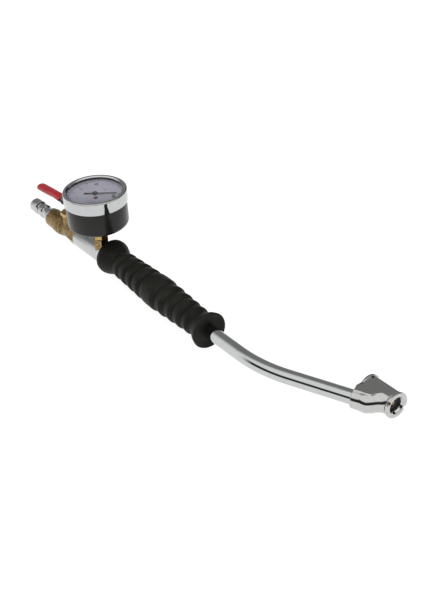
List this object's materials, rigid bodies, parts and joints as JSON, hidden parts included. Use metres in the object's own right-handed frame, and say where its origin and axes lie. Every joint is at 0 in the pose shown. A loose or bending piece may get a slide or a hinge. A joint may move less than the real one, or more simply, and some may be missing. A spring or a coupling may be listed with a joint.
{
  "type": "tyre inflator with gauge",
  "caption": "Hand-held tyre inflator: quick-connect plug, red-levered ball valve, round dial gauge, ringed rubber grip and bent tube with a two-ended air chuck.",
  "frame": {"origin": "on the air line's axis, at the outer end of the inlet plug's collar", "axes": "+X along the air line towards the chuck, +Z along the gauge axis towards its lens, +Y completes the frame"},
  "size_m": [0.3978, 0.0753, 0.0718],
  "materials": {
    "chrome": "polished chrome plate",
    "satin_chrome": "satin chrome plate on a zinc casting",
    "cast_brass": "matt cast brass",
    "turned_brass": "turned brass",
    "bronze_tube": "phosphor bronze",
    "zinc_steel": "zinc-plated steel",
    "seal_plastic": "white PTFE",
    "red_vinyl": "glossy red dipped vinyl",
    "black_enamel": "glossy black enamel",
    "black_rubber": "moulded black rubber",
    "clear_lens": "clear lens",
    "dial_white": "pale printed dial",
    "pointer_black": "matt black"
  },
  "bodies": {
    "frame": {"inlet_plug": "chrome", "valve_body": "cast_brass", "valve_end_cap": "turned_brass", "inlet_seat": "seal_plastic", "outlet_seat": "seal_plastic", "stem_packing": "seal_plastic", "gland_nut": "turned_brass", "body_tube": "chrome", "gauge_boss": "turned_brass", "gauge_socket": "turned_brass", "gauge_case": "black_enamel", "gauge_bezel": "chrome", "lens_gasket": "black_rubber", "gauge_lens": "clear_lens", "case_screws": "zinc_steel", "dial_posts": "turned_brass", "dial_plate": "dial_white", "dial_screws": "zinc_steel", "back_plate": "turned_brass", "front_plate": "turned_brass", "plate_pillars": "turned_brass", "plate_screws": "zinc_steel", "movement_screws": "zinc_steel", "bourdon_tube": "bronze_tube", "bourdon_tip": "turned_brass", "hairspring": "bronze_tube", "bent_tube": "chrome", "handle_grip": "black_rubber", "chuck_head": "satin_chrome", "front_retainer": "satin_chrome", "rear_retainer": "satin_chrome", "front_seal": "black_rubber", "rear_seal": "black_rubber", "front_spring": "zinc_steel", "rear_spring": "zinc_steel"},
    "valve_lever": {"valve_ball": "chrome", "valve_stem": "turned_brass", "lever": "zinc_steel", "lever_washer": "zinc_steel", "lever_nut": "zinc_steel", "lever_sleeve": "red_vinyl"},
    "sector": {"sector_gear": "turned_brass"},
    "link": {"tip_link": "turned_brass"},
    "needle": {"pinion_shaft": "turned_brass", "pointer": "pointer_black"},
    "front_pin": {"front_depressor": "turned_brass"},
    "rear_pin": {"rear_depressor": "turned_brass"}
  },
  "joints": [
    {"name": "valve_turn", "type": "hinge", "parent": "frame", "child": "valve_lever", "pos_m": [0.057, 0, 0], "axis": [0, 0, 1], "range_deg": [-90, 0]},
    {"name": "sector_turn", "type": "hinge", "parent": "frame", "child": "sector", "pos_m": [0.108, -0.0108, 0.0375], "axis": [0, 0, 1], "range_deg": [0, 54], "stiffness_Nm_per_rad": 0.004, "deforming": ["bourdon_tube", "bourdon_tip"]},
    {"name": "needle_turn", "type": "hinge", "parent": "frame", "child": "needle", "pos_m": [0.108, 0, 0.0375], "axis": [0, 0, 1], "range_deg": [-270, 0], "deforming": ["hairspring"]},
    {"name": "link_turn", "type": "hinge", "parent": "sector", "child": "link", "pos_m": [0.10641, -0.01392, 0.0384], "axis": [0, 0, 1], "range_deg": [-54, 0]},
    {"name": "front_depressor_slide", "type": "slide", "parent": "frame", "child": "front_pin", "axis": [-1, 0, 0], "range_m": [0, 0.0015], "stiffness_N_per_m": 800, "deforming": ["front_spring"]},
    {"name": "rear_depressor_slide", "type": "slide", "parent": "frame", "child": "rear_pin", "axis": [1, 0, 0], "range_m": [0, 0.0015], "stiffness_N_per_m": 800, "deforming": ["rear_spring"]}
  ],
  "couplings": [
    {"joint": "needle_turn", "follows": "sector_turn", "ratio": -5},
    {"joint": "link_turn", "follows": "sector_turn", "ratio": -1}
  ]
}
